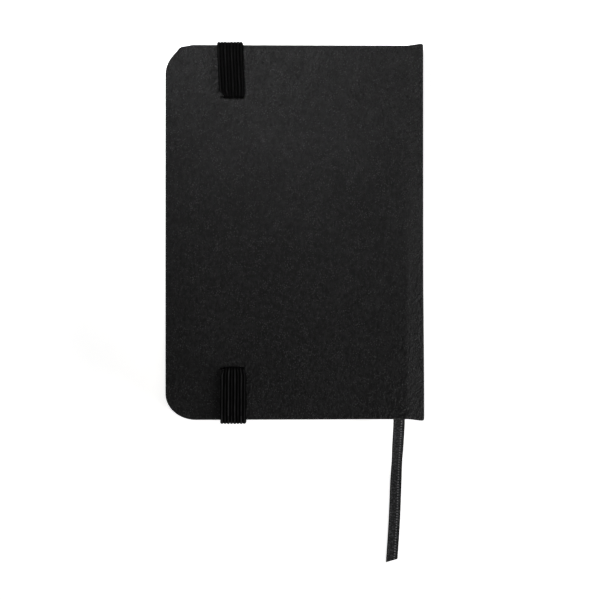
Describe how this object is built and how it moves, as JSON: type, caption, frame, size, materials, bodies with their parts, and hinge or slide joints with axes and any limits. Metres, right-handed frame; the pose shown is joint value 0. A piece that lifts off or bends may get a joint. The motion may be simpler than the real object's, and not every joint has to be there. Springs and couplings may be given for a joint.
{
  "type": "pocket notebook",
  "caption": "Small hard-cover notebook lying on its front cover: rounded fore-edge corners, sewn block of leaves, elastic closing band through the back cover, and a ribbon marker at the tail.",
  "frame": {"origin": "under the middle of the closed notebook, at the level of the lowest face of the elastic band", "axes": "+X from the fore-edge to the spine, +Y from the tail to the head, +Z from the front cover up to the back cover"},
  "size_m": [0.074, 0.1492, 0.0162],
  "materials": {
    "cover_skin": "satin, fine pebbled grain",
    "board": "matte",
    "paper": "matte ivory",
    "gauze": "open weave",
    "thread": "matte",
    "elastic": "ribbed weave",
    "ribbon": "fine satin weave"
  },
  "bodies": {
    "block": {"signature_01": "paper", "signature_02": "paper", "signature_03": "paper", "signature_04": "paper", "signature_05": "paper", "signature_06": "paper", "signature_07": "paper", "signature_08": "paper", "signature_09": "paper", "signature_10": "paper", "sewing_thread_1": "thread", "sewing_thread_2": "thread", "sewing_thread_3": "thread", "sewing_thread_4": "thread", "spine_mull": "gauze", "spine_strip": "board", "spine_skin": "cover_skin", "front_joint_skin": "cover_skin", "back_joint_skin": "cover_skin", "ribbon_anchor": "ribbon", "ribbon_in_pages": "ribbon", "ribbon_tail": "ribbon"},
    "front_cover": {"front_cover_skin": "cover_skin", "front_board": "board", "front_pastedown": "paper"},
    "back_cover": {"back_cover_skin": "cover_skin", "back_board": "board", "back_pastedown": "paper", "band_end_head": "elastic", "band_end_tail": "elastic", "band_leg_head": "elastic", "band_leg_tail": "elastic"},
    "band": {"band_wrap_head": "elastic", "band_wrap_tail": "elastic", "band_front_span": "elastic"},
    "front_flyleaf": {"front_flyleaf": "paper"},
    "back_flyleaf": {"back_flyleaf": "paper"},
    "back_leaf_1": {"back_leaf_1": "paper"},
    "back_leaf_2": {"back_leaf_2": "paper"}
  },
  "joints": [
    {"name": "front_cover_hinge", "type": "hinge", "parent": "block", "child": "front_cover", "pos_m": [0.0346, 0, 0.00365], "axis": [0, -1, 0], "range_deg": [0, 179], "deforming": ["front_joint_skin"]},
    {"name": "back_cover_hinge", "type": "hinge", "parent": "block", "child": "back_cover", "pos_m": [0.0346, 0, 0.01253], "axis": [0, 1, 0], "range_deg": [0, 179], "deforming": ["back_joint_skin"]},
    {"name": "band_release", "type": "slide", "parent": "back_cover", "child": "band", "axis": [-1, 0, 0], "range_m": [0, 0.025], "deforming": ["band_front_span", "band_wrap_head", "band_wrap_tail"]},
    {"name": "front_flyleaf_turn", "type": "hinge", "parent": "block", "child": "front_flyleaf", "pos_m": [0.0346, 0, 0.00365], "axis": [0, -1, 0], "range_deg": [0, 179]},
    {"name": "back_flyleaf_turn", "type": "hinge", "parent": "block", "child": "back_flyleaf", "pos_m": [0.0346, 0, 0.01253], "axis": [0, 1, 0], "range_deg": [0, 179]},
    {"name": "back_leaf_2_turn", "type": "hinge", "parent": "block", "child": "back_leaf_2", "pos_m": [0.0346, 0, 0.01253], "axis": [0, 1, 0], "range_deg": [0, 179]},
    {"name": "back_leaf_1_turn", "type": "hinge", "parent": "block", "child": "back_leaf_1", "pos_m": [0.0346, 0, 0.01253], "axis": [0, 1, 0], "range_deg": [0, 179]}
  ],
  "couplings": [
    {"joint": "band_release", "follows": "front_cover_hinge", "m_per_rad": 0.00795},
    {"joint": "front_flyleaf_turn", "follows": "front_cover_hinge", "ratio": 1},
    {"joint": "back_flyleaf_turn", "follows": "back_cover_hinge", "ratio": 0.88},
    {"joint": "back_leaf_2_turn", "follows": "back_cover_hinge", "ratio": 0.62},
    {"joint": "back_leaf_1_turn", "follows": "back_cover_hinge", "ratio": 0.34}
  ]
}
